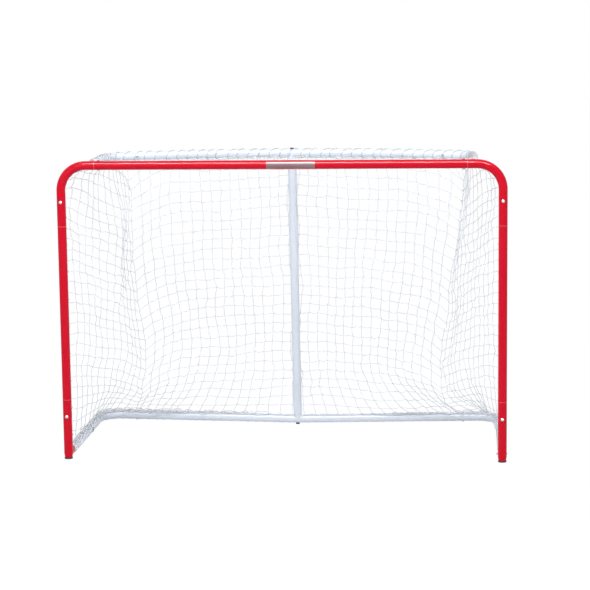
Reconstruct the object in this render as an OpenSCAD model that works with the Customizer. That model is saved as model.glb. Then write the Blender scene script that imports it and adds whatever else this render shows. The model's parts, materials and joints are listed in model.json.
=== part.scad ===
// Knock-down street hockey goal with a shelf frame, a braced back and a
// square-hung net. Millimetres, +X to the right seen from the front, +Y to the
// back, +Z up. The origin lies on the floor, midway between the two posts and
// midway between the front of the mouth's bolts and the back of the base.

/* [Mouth] */
// Clear width between the posts
mouth_w = 1829; // [1500:1:2100]
// Clear height from the floor to the underside of the crossbar
mouth_h = 1250; // [1100:1:1400]
// Centreline radius of the two top corners
corner_r = 107; // [80:1:150]

/* [Tubes] */
// Outside diameter of every frame tube
tube_d = 38; // [34:0.5:42]
// Wall of every frame tube
tube_wall = 1.6; // [1.2:0.1:2.5]
// Radial clearance of a reduced tube end in the tube that takes it
fit_gap = 0.1; // [0.05:0.05:0.2]
// Centreline radius of the bends in the base and in the shelf
rear_bend_r = 100; // [80:1:120]

/* [Front frame joints] */
// Height of the seam between a post and its top corner
upper_seam_z = 1010; // [950:1:1030]
// Height of the seam between a post and its leg
lower_seam_z = 260; // [240:1:400]
// Length of the reduced ends of the posts
post_spigot = 122; // [100:1:125]
// Height of the upper joint bolts above their seam
upper_bolt_up = 104; // [40:1:108]
// Depth of the lower joint bolts below their seam
lower_bolt_down = 74; // [40:1:100]
// Distance of the crossbar's ends from the middle
crossbar_seam_x = 786; // [700:1:790]
// Length of the reduced ends of the corners
corner_spigot = 62; // [50:1:90]
// Distance of the crossbar bolts from the crossbar's ends
crossbar_bolt_in = 16; // [12:1:40]

/* [Rear frame] */
// Depth of the base, from the post axes to the rear bar's axis at its middle
base_depth = 730; // [600:1:900]
// Angle by which each half of the rear bar runs forward to the middle
base_vee = 4.5; // [2:0.5:8]
// Radius of the bend in the middle of the rear bar
vee_bend_r = 250; // [150:1:400]
// Depth of the shelf, from the post axes to the shelf bar's axis at its middle
shelf_depth = 590; // [500:1:700]
// Angle by which the ends of the bowed shelf bar sweep forward
shelf_sweep = 20; // [10:1:25]
// Distance of the shelf's side tubes from the middle
shelf_x = 808; // [806:1:812]
// Upward tilt of the shelf towards the back
shelf_tilt = 0.2; // [0:0.1:3]
// Length of the stubs that carry the base and the shelf, from the post axes
stub_len = 62; // [55:1:80]
// Straight stretch behind a bend, which takes the end of a bar
bar_socket = 80; // [70:1:110]
// Length of the other reduced tube ends
spigot_len = 36; // [30:1:38]

/* [Feet and fasteners] */
// Thickness of a foot cap's rim
foot_h = 6; // [5.5:0.5:12]
// Diameter of a foot cap's rim
foot_d = 36; // [33:1:44]
// Diameter of a leg's closed-in lower end
leg_end_d = 32; // [29:0.5:33]
// Height over which a leg closes in
leg_taper = 16; // [8:1:20]
// Length of a foot cap's plug
plug_len = 22; // [12:1:30]
// Thread diameter of the joint bolts
bolt_d = 6; // [5:0.5:8]
// Diameter of the domed bolt heads
head_d = 14; // [12:0.5:16]
// Height of the domed bolt heads
head_h = 4; // [3:0.5:5]
// Width across the flats of the joint nuts
nut_af = 10; // [9:0.5:13]
// Thickness of the joint nuts
nut_h = 5; // [4:0.5:5]
// Thread diameter of the two bolts of the centre post
post_bolt_d = 8; // [6:0.5:10]
// Diameter of the two flat heads of the centre post's bolts
post_head_d = 18; // [14:0.5:22]

/* [Net] */
// Mesh of the net, knot to knot
mesh = 45; // [35:1:60]
// Diameter of the netting twine
twine_d = 3; // [2:0.5:4]
// Diameter of the edge ropes behind the front frame
rope_d = 6; // [5:0.5:6.5]
// Spacing of the net hooks along the posts and the crossbar
hook_pitch = 118; // [90:1:200]
// Wire diameter of the net hooks
hook_wire = 4; // [3:0.5:4]
// Mean radius of a hook's eye
hook_r = 9.5; // [9.5:0.5:11]
// Angle of the hooks, from straight back towards the inside of the mouth
hook_angle = 35; // [30:1:60]
// Spacing of the lacing loops on the base and the shelf
lacing_pitch = 90; // [60:1:180]

/* [Label] */
// Length of the blank label on the crossbar
label_len = 205; // [60:1:300]
// Distance of the label's middle from the crossbar's middle
label_x = 47; // [-200:1:200]
// Thickness of the label
label_t = 0.4; // [0.3:0.1:1]
// Angle that the label covers around the crossbar
label_wrap = 96; // [40:1:110]
// Angle by which the label's middle is turned up from straight ahead
label_up = -4; // [-30:1:60]

/* [Hidden] */
$fn = 48;

eps = 1;                    // how far a cut runs past a face
seat = 0.3;                 // clearance of a soft or coped face from its seat
tube_r = tube_d / 2;
bore_r = tube_r - tube_wall;
spigot_r = bore_r - fit_gap;
neck = 8;                   // length over which a bore closes to a reduced end
ring_h = 1;                 // half the length of a ring that joins two stretches
ring_grow = 0.1;            // and how far it stands proud of the wall
post_x = (mouth_w + tube_d) / 2;
bar_z = mouth_h + tube_r;   // axis of the crossbar
base_z = foot_h + tube_r;   // axis of the base tubes
bolt_hole_r = bolt_d / 2 + 0.2;
post_hole_r = post_bolt_d / 2 + 0.2;
stub_bolt_y = stub_len - spigot_len / 2;

// Shelf: a straight side, a bend, a straight socket and half of the bow.
bar_tail = 14;              // straight end of a bar before its bend begins
shelf_c = shelf_x - rear_bend_r * (1 - sin(shelf_sweep))
          - (bar_socket + bar_tail) * cos(shelf_sweep);
shelf_bow_r = shelf_c / sin(shelf_sweep);
shelf_bow = shelf_c * tan(shelf_sweep / 2);
shelf_side = shelf_depth - stub_len - rear_bend_r * cos(shelf_sweep)
             - (bar_socket + bar_tail) * sin(shelf_sweep) - shelf_bow;
shelf_seam_x = shelf_x - rear_bend_r * (1 - sin(shelf_sweep)) - bar_socket * cos(shelf_sweep);
shelf_seam_y = shelf_depth - shelf_bow - bar_tail * sin(shelf_sweep);
shelf_mid_y = shelf_depth * cos(shelf_tilt);
shelf_mid_z = bar_z + shelf_depth * sin(shelf_tilt);
SHELF_SIDE = [[shelf_side, 0], [rear_bend_r, 90 - shelf_sweep], [bar_socket, 0]];
SHELF_BAR = [[bar_tail, 0], [shelf_bow_r, 2 * shelf_sweep], [bar_tail, 0]];

// Base: the same, with two straight halves that meet in a shallow vee.
base_seam_x = post_x - rear_bend_r * (1 + sin(base_vee)) - bar_socket * cos(base_vee);
base_half = (base_seam_x - vee_bend_r * sin(base_vee)) / cos(base_vee);
base_seam_y = base_depth + base_half * sin(base_vee) + vee_bend_r * (1 - cos(base_vee));
base_side = base_seam_y + bar_socket * sin(base_vee) - rear_bend_r * cos(base_vee) - stub_len;
BASE_SIDE = [[base_side, 0], [rear_bend_r, 90 + base_vee], [bar_socket, 0]];
BASE_BAR = [[base_half, 0], [vee_bend_r, 2 * base_vee], [base_half, 0]];

// Everything is modelled with the post axes at y = 0 and then moved forward, to
// set the middle of its depth on the origin.
mid_y = (stub_len + base_side + rear_bend_r - head_h) / 2;

// Corner: up the leg, round the bend and along the crossbar.
corner_leg = bar_z - corner_r - upper_seam_z;
corner_arm = post_x - corner_r - crossbar_seam_x;
CORNER = [[corner_leg, 0], [corner_r, 90], [corner_arm, 0]];

// Centre post, from the rear bar's axis to the shelf bar's axis.
brace_len = norm([shelf_mid_y - base_depth, shelf_mid_z - base_z]);
brace_lean = atan2(base_depth - shelf_mid_y, shelf_mid_z - base_z);
lip = 7;                    // height at which the coped lips are cut off
insert_from = tube_r + 8;   // threaded inserts, measured from the bars' axes
insert_len = 22;

// Edge ropes, held behind the tubes and inside the mouth by the hooks.
rope_out = tube_r + rope_d / 2 + 1.2;
rope_in = rope_out * sin(hook_angle);
rope_back = rope_out * cos(hook_angle);
rope_low = base_z + tube_r + 12;
rope_high = bar_z - corner_r;
rope_end_x = crossbar_seam_x - crossbar_bolt_in - 25;

// Net panels: leaning planes between the base, the shelf and the front frame.
twine_r = twine_d / 2;
net_layer = twine_d + 0.2;  // the two sets of twines cross this far apart
loop_r = tube_r + twine_r + seat;
net_from_y = tube_r + 11;
net_low_z = base_z + loop_r + twine_d + seat;
side_top_z = bar_z - loop_r - twine_d - seat;
side_h = side_top_z - net_low_z;
side_lean = atan2(post_x - shelf_x, side_h);
side_low_y = stub_len + base_side + 4;
side_top_y = stub_len + shelf_side + 40;
back_top_z = side_top_z + 0.65 * shelf_depth * sin(shelf_tilt);
back_low_y = (base_depth + base_seam_y) / 2;
back_top_y = shelf_mid_y - shelf_bow / 3;
back_lean = atan2(back_low_y - back_top_y, back_top_z - net_low_z);
back_in_x = tube_r + 5;
back_low_x = post_x - rear_bend_r + 18;
back_top_x = shelf_seam_x - 10;

// Corner panel, from the side net's rear edge to the back net's outer edge.
panel_gap = 2 * twine_d;
corner_low = [-post_x, side_low_y + panel_gap];
corner_top = [-shelf_x, side_top_y + panel_gap];
corner_dir = atan2(back_top_y - corner_top[1], shelf_x - back_top_x);
corner_top_len = (shelf_x - back_top_x) / cos(corner_dir) - panel_gap;
corner_low_len = (post_x - back_low_x) / cos(corner_dir) - panel_gap;
corner_step = corner_top - corner_low;
corner_shift = corner_step[0] * cos(corner_dir) + corner_step[1] * sin(corner_dir);
corner_back = corner_step[0] * sin(corner_dir) - corner_step[1] * cos(corner_dir);
corner_lean = atan2(corner_back, side_h);

// Facets of a full turn of a bend, so that a wide one stays as fine as a tight one.
function bend_sides(r) = 16 * ceil(sqrt(r));

module centred() { translate([0, -mid_y, 0]) children(); }

module left_and_right() {
    children();
    mirror([1, 0, 0]) children();
}

// A solid run of straights [length, 0] and bends [radius, angle], which starts
// along +Z and bends towards +X.
module run(segs, r, i = 0) {
    if (i < len(segs)) {
        s = segs[i];
        if (s[1] == 0) {
            cylinder(r = r, h = s[0]);
        } else {
            translate([s[0], 0, 0]) rotate([90, 0, 0]) rotate([0, 0, 180 - s[1]])
                rotate_extrude(angle = s[1], $fn = bend_sides(s[0])) translate([s[0], 0]) circle(r = r);
        }
        past(s) run(segs, r, i + 1);
    }
}

// Moves its children from the start of a segment to its end.
module past(s) {
    if (s[1] == 0) {
        translate([0, 0, s[0]]) children();
    } else {
        translate([s[0] * (1 - cos(s[1])), 0, s[0] * sin(s[1])]) rotate([0, s[1], 0]) children();
    }
}

module at_end(segs, i = 0) {
    if (i < len(segs)) past(segs[i]) at_end(segs, i + 1) children();
    else children();
}

function cut_ends(segs, first, last) =
    [for (i = [0 : len(segs) - 1])
        let (less = (i == 0 ? first : 0) + (i == len(segs) - 1 ? last : 0))
        [segs[i][0] - less, segs[i][1]]];

module wall_section(grow = 0) {
    difference() {
        circle(r = tube_r + grow);
        circle(r = bore_r - grow);
    }
}

// A short ring, a hair thicker than the wall, that joins two stretches.
module joint_ring() {
    translate([0, 0, -ring_h]) linear_extrude(2 * ring_h) wall_section(ring_grow);
}

// A hollow run: as run, with the tube's wall as its section.
module hollow_run(segs, i = 0) {
    if (i < len(segs)) {
        s = segs[i];
        if (i > 0) joint_ring();
        if (s[1] == 0) {
            linear_extrude(s[0]) wall_section();
        } else {
            translate([s[0], 0, 0]) rotate([90, 0, 0]) rotate([0, 0, 180 - s[1]])
                rotate_extrude(angle = s[1], $fn = bend_sides(s[0])) translate([s[0], 0]) wall_section();
        }
        past(s) hollow_run(segs, i + 1);
    }
}

// The reduced end of a tube: the origin is its shoulder, and the tube is
// towards +Z.
module spigot(length) {
    inner = spigot_r - tube_wall;
    rotate_extrude() polygon([
        [inner, -length], [spigot_r, -length], [spigot_r, 0], [tube_r, 0],
        [tube_r, neck], [inner, neck]]);
    translate([0, 0, neck]) joint_ring();
}

// A tube along segs. Where first or last is above 0, that end is reduced to a
// spigot of that length; otherwise it is open and takes one.
module tube(segs, first = 0, last = 0) {
    from = first > 0 ? neck : 0;
    to = last > 0 ? neck : 0;
    translate([0, 0, from]) hollow_run(cut_ends(segs, from, to));
    if (first > 0) spigot(first);
    if (last > 0) at_end(segs) mirror([0, 0, 1]) spigot(last);
}

// Frames of the pieces: each places its children as a run starts.
module on_crossbar() { translate([-crossbar_seam_x, 0, bar_z]) rotate([0, 90, 0]) children(); }
module on_corner() { translate([-post_x, 0, upper_seam_z]) children(); }
module on_shelf() { translate([0, 0, bar_z]) rotate([shelf_tilt, 0, 0]) children(); }
module on_shelf_side() { on_shelf() translate([-shelf_x, stub_len, 0]) rotate([-90, 0, 0]) children(); }
module on_shelf_bar() {
    on_shelf() translate([-shelf_seam_x, shelf_seam_y, 0]) rotate([0, 0, shelf_sweep])
        rotate([-90, 0, -90]) children();
}
module on_base_side() { translate([-post_x, stub_len, base_z]) rotate([-90, 0, 0]) children(); }
module on_base_bar() {
    translate([-base_seam_x, base_seam_y, base_z]) rotate([0, 0, -base_vee])
        rotate([90, 0, 90]) children();
}
module on_brace() { translate([0, base_depth, base_z]) rotate([brace_lean, 0, 0]) children(); }

// Places of the joint bolts: +Z points from the nut to the head, and the
// origin lies on the tube's axis.
module at_post_bolts() {
    for (z = [upper_seam_z + upper_bolt_up, lower_seam_z - lower_bolt_down])
        translate([-post_x, 0, z]) rotate([90, 0, 0]) children();
}
module at_crossbar_bolt() { translate([-crossbar_seam_x + crossbar_bolt_in, 0, bar_z]) children(); }
module at_leg_stub_bolt() { translate([-post_x, stub_bolt_y, base_z]) rotate([0, -90, 0]) children(); }
module at_shelf_stub_bolt() { on_shelf() translate([-shelf_x, stub_bolt_y, 0]) rotate([0, -90, 0]) children(); }
module at_base_seam_bolt() { on_base_bar() translate([0, 0, -spigot_len / 2]) rotate([90, 0, 0]) children(); }
module at_shelf_seam_bolt() { on_shelf_bar() translate([0, 0, -spigot_len / 2]) rotate([0, -90, 0]) children(); }

module bolt_hole() { cylinder(r = bolt_hole_r, h = tube_d + 2 * eps, center = true); }

module domed_bolt() {
    reach = tube_r + nut_h;
    dome_r = (head_d * head_d / 4 + head_h * head_h) / (2 * head_h);
    translate([0, 0, -reach]) cylinder(d = bolt_d, h = reach + tube_r + head_h / 2);
    translate([0, 0, tube_r]) intersection() {
        cylinder(d = head_d, h = head_h);
        translate([0, 0, head_h - dome_r]) sphere(r = dome_r);
    }
}

module joint_nut() {
    translate([0, 0, -tube_r - nut_h]) difference() {
        cylinder(d = nut_af / cos(30), h = nut_h, $fn = 6);
        translate([0, 0, -eps]) cylinder(r = bolt_hole_r, h = nut_h + 2 * eps);
    }
}

module crossbar() {
    color("firebrick") centred() difference() {
        on_crossbar() tube([[2 * crossbar_seam_x, 0]]);
        left_and_right() at_crossbar_bolt() bolt_hole();
    }
}

// The left corner: a bent tube with a stub for the shelf welded to its back.
module corner() {
    difference() {
        union() {
            on_corner() run(CORNER, tube_r);
            on_corner() at_end(CORNER) translate([0, 0, -eps])
                cylinder(r = spigot_r, h = corner_spigot + eps);
            on_shelf() translate([-shelf_x, 0, 0]) rotate([-90, 0, 0])
                cylinder(r = tube_r, h = stub_len);
        }
        on_corner() translate([0, 0, -eps]) run(cut_ends(CORNER, -eps, neck), bore_r);
        on_corner() at_end(CORNER) translate([0, 0, -neck - eps])
            cylinder(r = spigot_r - tube_wall, h = corner_spigot + neck + 2 * eps);
        on_shelf() translate([-shelf_x, tube_r, 0]) rotate([-90, 0, 0])
            cylinder(r = bore_r, h = stub_len - tube_r + eps);
        at_post_bolts() bolt_hole();
        at_crossbar_bolt() bolt_hole();
        at_shelf_stub_bolt() bolt_hole();
    }
}
module corner_left() { color("crimson") centred() corner(); }
module corner_right() { color("crimson") centred() mirror([1, 0, 0]) corner(); }

module post() {
    difference() {
        translate([-post_x, 0, lower_seam_z])
            tube([[upper_seam_z - lower_seam_z, 0]], post_spigot, post_spigot);
        at_post_bolts() bolt_hole();
    }
}
module post_left() { color("firebrick") centred() post(); }
module post_right() { color("firebrick") centred() mirror([1, 0, 0]) post(); }

// The left leg: closed in at its foot, with a stub for the base at its back.
module leg() {
    end_r = leg_end_d / 2;
    difference() {
        union() {
            translate([-post_x, 0, 0]) rotate_extrude() polygon([
                [0, foot_h], [end_r, foot_h], [tube_r, foot_h + leg_taper],
                [tube_r, lower_seam_z], [0, lower_seam_z]]);
            translate([-post_x, 0, base_z]) rotate([-90, 0, 0]) cylinder(r = tube_r, h = stub_len);
        }
        translate([-post_x, 0, 0]) rotate_extrude() polygon([
            [0, foot_h - eps], [end_r - tube_wall, foot_h - eps], [end_r - tube_wall, foot_h],
            [bore_r, foot_h + leg_taper], [bore_r, lower_seam_z + eps], [0, lower_seam_z + eps]]);
        translate([-post_x, tube_r, base_z]) rotate([-90, 0, 0])
            cylinder(r = bore_r, h = stub_len - tube_r + eps);
        at_post_bolts() bolt_hole();
        at_leg_stub_bolt() bolt_hole();
    }
}
module leg_left() { color("crimson") centred() leg(); }
module leg_right() { color("crimson") centred() mirror([1, 0, 0]) leg(); }

module foot_cap() {
    plug_r = leg_end_d / 2 - tube_wall - fit_gap;
    translate([-post_x, 0, 0]) {
        cylinder(d = foot_d, h = foot_h);
        cylinder(r = plug_r, h = foot_h + plug_len);
    }
}
module foot_cap_left() { color("black") centred() foot_cap(); }
module foot_cap_right() { color("black") centred() mirror([1, 0, 0]) foot_cap(); }

module shelf_side_tube() {
    difference() {
        on_shelf_side() tube(SHELF_SIDE, spigot_len, 0);
        at_shelf_stub_bolt() bolt_hole();
        at_shelf_seam_bolt() bolt_hole();
    }
}
module shelf_side_left() { color("aliceblue") centred() shelf_side_tube(); }
module shelf_side_right() { color("aliceblue") centred() mirror([1, 0, 0]) shelf_side_tube(); }

module shelf_bar() {
    color("lavender") centred() difference() {
        on_shelf_bar() tube(SHELF_BAR, spigot_len, spigot_len);
        left_and_right() at_shelf_seam_bolt() bolt_hole();
        translate([0, shelf_mid_y, shelf_mid_z]) cylinder(r = post_hole_r, h = 2 * tube_d, center = true);
    }
}

module base_side_tube() {
    difference() {
        on_base_side() tube(BASE_SIDE, spigot_len, 0);
        at_leg_stub_bolt() bolt_hole();
        at_base_seam_bolt() bolt_hole();
    }
}
module base_side_left() { color("aliceblue") centred() base_side_tube(); }
module base_side_right() { color("aliceblue") centred() mirror([1, 0, 0]) base_side_tube(); }

module base_bar() {
    color("lavender") centred() difference() {
        on_base_bar() tube(BASE_BAR, spigot_len, spigot_len);
        left_and_right() at_base_seam_bolt() bolt_hole();
        translate([0, base_depth, base_z]) cylinder(r = post_hole_r, h = 2 * tube_d, center = true);
    }
}

// The brace at the back, coped over the rear bar and under the shelf bar.
module centre_post() {
    color("ghostwhite") centred() difference() {
        on_brace() translate([0, 0, lip]) cylinder(r = tube_r, h = brace_len - 2 * lip);
        on_brace() translate([0, 0, lip - eps]) cylinder(r = bore_r, h = brace_len - 2 * lip + 2 * eps);
        translate([0, base_depth + vee_bend_r, base_z]) cope(vee_bend_r, -90);
        on_shelf() translate([0, shelf_depth - shelf_bow_r, 0]) cope(shelf_bow_r, 90);
    }
}

// The stretch of a bent bar that a cope clears, facing the given way.
module cope(bend_r, facing) {
    half = asin(1.5 * tube_r / bend_r);
    rotate([0, 0, facing - half]) rotate_extrude(angle = 2 * half, $fn = bend_sides(bend_r))
        translate([bend_r, 0]) circle(r = tube_r + seat);
}

module insert_blank(from) {
    on_brace() translate([0, 0, from]) cylinder(r = bore_r - fit_gap, h = insert_len);
}
module post_inserts() {
    color("silver") centred() difference() {
        union() {
            insert_blank(insert_from);
            insert_blank(brace_len - insert_from - insert_len);
        }
        translate([0, base_depth, base_z]) cylinder(r = post_hole_r, h = 4 * tube_d);
        translate([0, shelf_mid_y, shelf_mid_z - 4 * tube_d]) cylinder(r = post_hole_r, h = 4 * tube_d);
    }
}
post_bolt_reach = insert_from + insert_len + 4;
module centre_top_bolt() {
    color("dimgray") centred() translate([0, shelf_mid_y, shelf_mid_z - post_bolt_reach]) {
        cylinder(d = post_bolt_d, h = post_bolt_reach + tube_r + head_h);
        translate([0, 0, post_bolt_reach + tube_r]) cylinder(d = post_head_d, h = head_h);
    }
}
module centre_foot_bolt() {
    color("dimgray") centred() translate([0, base_depth, 0]) {
        cylinder(d = post_bolt_d, h = base_z + post_bolt_reach);
        cylinder(d = post_head_d, h = foot_h);
    }
}

module post_bolts() { color("gainsboro") centred() left_and_right() at_post_bolts() domed_bolt(); }
module post_nuts() { color("silver") centred() left_and_right() at_post_bolts() joint_nut(); }
module crossbar_bolts() { color("firebrick") centred() left_and_right() at_crossbar_bolt() domed_bolt(); }
module crossbar_nuts() { color("silver") centred() left_and_right() at_crossbar_bolt() joint_nut(); }
module stub_bolts() {
    color("gainsboro") centred() left_and_right() {
        at_leg_stub_bolt() domed_bolt();
        at_shelf_stub_bolt() domed_bolt();
    }
}
module stub_nuts() {
    color("silver") centred() left_and_right() {
        at_leg_stub_bolt() joint_nut();
        at_shelf_stub_bolt() joint_nut();
    }
}
module base_seam_bolts() { color("gainsboro") centred() left_and_right() at_base_seam_bolt() domed_bolt(); }
module base_seam_nuts() { color("silver") centred() left_and_right() at_base_seam_bolt() joint_nut(); }
module shelf_seam_bolts() { color("gainsboro") centred() left_and_right() at_shelf_seam_bolt() domed_bolt(); }
module shelf_seam_nuts() { color("silver") centred() left_and_right() at_shelf_seam_bolt() joint_nut(); }

// A wire eye on a tube along Z, on the side that +X points to.
module hook() {
    leg = 4;
    difference() {
        translate([tube_r, 0, 0]) {
            rotate([0, 0, -90]) rotate_extrude(angle = 180) translate([hook_r, 0]) circle(d = hook_wire, $fn = 24);
            for (y = [-hook_r, hook_r])
                translate([-leg, y, 0]) rotate([0, 90, 0]) cylinder(d = hook_wire, h = leg, $fn = 24);
        }
        cylinder(r = tube_r + 0.02, h = 2 * hook_wire, center = true);
    }
}
post_hooks = floor((rope_high - rope_low) / hook_pitch);
top_hooks = floor((rope_end_x - hook_wire) / hook_pitch);
module hooks_side() {
    for (i = [0 : post_hooks - 1])
        translate([-post_x, 0, rope_low + hook_pitch * (i + 0.4)])
            rotate([0, 0, 90 - hook_angle]) hook();
}
module hooks_left() { color("red") centred() hooks_side(); }
module hooks_right() { color("red") centred() mirror([1, 0, 0]) hooks_side(); }
module hooks_top() {
    color("red") centred() for (i = [-top_hooks : top_hooks])
        translate([i * hook_pitch, 0, bar_z]) rotate([0, 90, 0])
            rotate([0, 0, 90 - hook_angle]) hook();
}

module edge_ropes() {
    color("white") centred() {
        for (side = [-1, 1])
            translate([side * (post_x - rope_in), rope_back, rope_low])
                cylinder(d = rope_d, h = rope_high - rope_low);
        translate([-rope_end_x, rope_back, bar_z - rope_in]) rotate([0, 90, 0])
            cylinder(d = rope_d, h = 2 * rope_end_x);
    }
}

module twine(length) { cylinder(d = twine_d, h = length, $fn = 8); }

// A flat net of square meshes in the XZ plane, in two crossing layers. Its
// bottom edge runs from low_a to low_b, and its top edge from top_a to top_b.
module flat_net(low_a, low_b, top_a, top_b, h) {
    rows = floor(h / mesh);
    row_h = h / rows;
    cols = floor((max(low_b, top_b) - min(low_a, top_a)) / mesh);
    for (k = [0 : rows]) {
        t = k / rows;
        a = low_a + (top_a - low_a) * t;
        b = low_b + (top_b - low_b) * t;
        translate([a, 0, k * row_h]) rotate([0, 90, 0]) twine(b - a);
    }
    for (i = [0 : cols]) {
        x = min(low_a, top_a) + twine_d + i * mesh;
        z_a = x >= max(low_a, top_a) ? 0 : h * (x - low_a) / (top_a - low_a);
        z_b = x <= min(low_b, top_b) ? h : h * (low_b - x) / (low_b - top_b);
        if (x < max(low_b, top_b) - twine_d)
            translate([x, net_layer, z_a]) twine(z_b - z_a);
    }
}

module side_net() {
    translate([-post_x, 0, net_low_z]) rotate([0, side_lean, 0]) rotate([0, 0, 90])
        flat_net(net_from_y, side_low_y, net_from_y, side_top_y, side_h / cos(side_lean));
}
module net_left() { color("whitesmoke") centred() side_net(); }
module net_right() { color("whitesmoke") centred() mirror([1, 0, 0]) side_net(); }

module back_net() {
    translate([0, back_low_y, net_low_z]) rotate([back_lean, 0, 0]) mirror([1, 0, 0])
        flat_net(back_in_x, back_low_x, back_in_x, back_top_x, (back_top_z - net_low_z) / cos(back_lean));
}
module net_back_left() { color("whitesmoke") centred() back_net(); }
module net_back_right() { color("whitesmoke") centred() mirror([1, 0, 0]) back_net(); }

module corner_net() {
    translate([corner_low[0], corner_low[1], net_low_z])
        rotate([0, 0, corner_dir]) rotate([corner_lean, 0, 0])
        flat_net(0, corner_low_len, corner_shift, corner_shift + corner_top_len,
                 side_h / cos(corner_lean));
}
module net_corner_left() { color("whitesmoke") centred() corner_net(); }
module net_corner_right() { color("whitesmoke") centred() mirror([1, 0, 0]) corner_net(); }

// The inner edge of the shelf frame: the bow, then the socket, then the bend.
edge_bow_r = shelf_bow_r - tube_r - seat;
edge_bend_r = rear_bend_r - tube_r - seat;
bend_x = shelf_x - rear_bend_r;
bend_y = stub_len + shelf_side;
socket_x = bend_x + edge_bend_r * sin(shelf_sweep);
socket_y = bend_y + edge_bend_r * cos(shelf_sweep);
bow_x = edge_bow_r * sin(shelf_sweep);
bow_y = shelf_depth - shelf_bow_r + edge_bow_r * cos(shelf_sweep);
function edge_y(x) =
    x < bow_x ? shelf_depth - shelf_bow_r + sqrt(edge_bow_r * edge_bow_r - x * x)
    : x < socket_x ? socket_y + (socket_x - x) * tan(shelf_sweep)
    : bend_y + sqrt(max(0, edge_bend_r * edge_bend_r - pow(x - bend_x, 2)));
function edge_x(y) =
    y < bend_y ? bend_x + edge_bend_r
    : y < socket_y ? bend_x + sqrt(edge_bend_r * edge_bend_r - pow(y - bend_y, 2))
    : y < bow_y ? socket_x - (y - socket_y) / tan(shelf_sweep)
    : sqrt(max(0, edge_bow_r * edge_bow_r - pow(y - shelf_depth + shelf_bow_r, 2)));
module net_top() {
    cols = floor((bend_x + edge_bend_r - twine_d) / mesh);
    rows = floor((shelf_depth - tube_r - net_from_y - 4 * twine_d) / mesh);
    color("whitesmoke") centred() on_shelf() {
        for (i = [-cols : cols])
            translate([i * mesh, net_from_y, 0]) rotate([-90, 0, 0])
                twine(edge_y(abs(i * mesh) + twine_r) - net_from_y);
        for (k = [0 : rows]) {
            y = net_from_y + twine_d + k * mesh;
            x = edge_x(y + twine_r);
            translate([-x, y, -net_layer]) rotate([0, 90, 0]) twine(2 * x);
        }
    }
}

// A loop of twine around a tube along Z.
module loop() {
    rotate_extrude() translate([loop_r, 0]) circle(d = twine_d, $fn = 16);
}
module shelf_lacing() {
    count = floor(shelf_bow_r * shelf_sweep * PI / 180 / lacing_pitch);
    side_count = floor(shelf_side / lacing_pitch);
    color("white") centred() left_and_right() {
        for (i = [0 : count - 1])
            on_shelf() translate([0, shelf_depth - shelf_bow_r, 0])
                rotate([0, 0, (i + 0.5) * shelf_sweep / count])
                translate([0, shelf_bow_r, 0]) rotate([0, 90, 0]) loop();
        for (i = [1 : side_count - 1])
            on_shelf_side() translate([0, 0, i * shelf_side / side_count]) loop();
    }
}
module base_lacing() {
    count = floor(base_half / lacing_pitch);
    side_count = floor(base_side / lacing_pitch);
    color("white") centred() left_and_right() {
        for (i = [0 : count - 1])
            on_base_bar() translate([0, 0, (i + 0.5) * base_half / count]) loop();
        for (i = [1 : side_count - 1])
            on_base_side() translate([0, 0, i * base_side / side_count]) loop();
    }
}

// A thin band on the front of the crossbar, turned a little upwards.
module label() {
    half = label_wrap / 2;
    far = 2 * tube_r;
    color("lightgray") centred() translate([label_x - label_len / 2, 0, bar_z]) rotate([0, 90, 0])
        linear_extrude(label_len) intersection() {
            difference() {
                circle(r = tube_r + label_t, $fn = 96);
                circle(r = tube_r, $fn = 96);
            }
            rotate(-90 - label_up) polygon([[0, 0], [far * cos(half), -far * sin(half)],
                [far, 0], [far * cos(half), far * sin(half)]]);
        }
}

crossbar();
corner_left();
corner_right();
post_left();
post_right();
leg_left();
leg_right();
foot_cap_left();
foot_cap_right();
shelf_side_left();
shelf_side_right();
shelf_bar();
base_side_left();
base_side_right();
base_bar();
centre_post();
post_inserts();
centre_top_bolt();
centre_foot_bolt();
post_bolts();
post_nuts();
crossbar_bolts();
crossbar_nuts();
stub_bolts();
stub_nuts();
base_seam_bolts();
base_seam_nuts();
shelf_seam_bolts();
shelf_seam_nuts();
hooks_left();
hooks_right();
hooks_top();
edge_ropes();
net_left();
net_right();
net_top();
net_back_left();
net_back_right();
net_corner_left();
net_corner_right();
shelf_lacing();
base_lacing();
label();
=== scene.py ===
"""A street hockey goal: coated tubes, a hung net, its lacing and a plain studio."""

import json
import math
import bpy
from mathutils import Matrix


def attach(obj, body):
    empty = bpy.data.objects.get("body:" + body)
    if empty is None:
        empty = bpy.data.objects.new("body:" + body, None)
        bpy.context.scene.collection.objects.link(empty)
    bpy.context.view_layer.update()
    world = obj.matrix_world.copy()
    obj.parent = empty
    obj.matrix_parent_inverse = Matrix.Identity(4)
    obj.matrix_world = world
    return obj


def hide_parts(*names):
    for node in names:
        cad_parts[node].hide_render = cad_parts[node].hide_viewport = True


bl_info = {
    "name": "Street Hockey Goal",
    "version": (1, 0, 0),
    "blender": (4, 5, 0),
    "location": "View3D > Sidebar > Goal",
    "description": "Finishes a tubular goal frame and hangs, laces and lights its net",
    "category": "Object",
}

import bpy
import numpy as np
from bpy.props import FloatProperty, FloatVectorProperty, IntProperty, PointerProperty
from mathutils import Euler, Matrix

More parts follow.
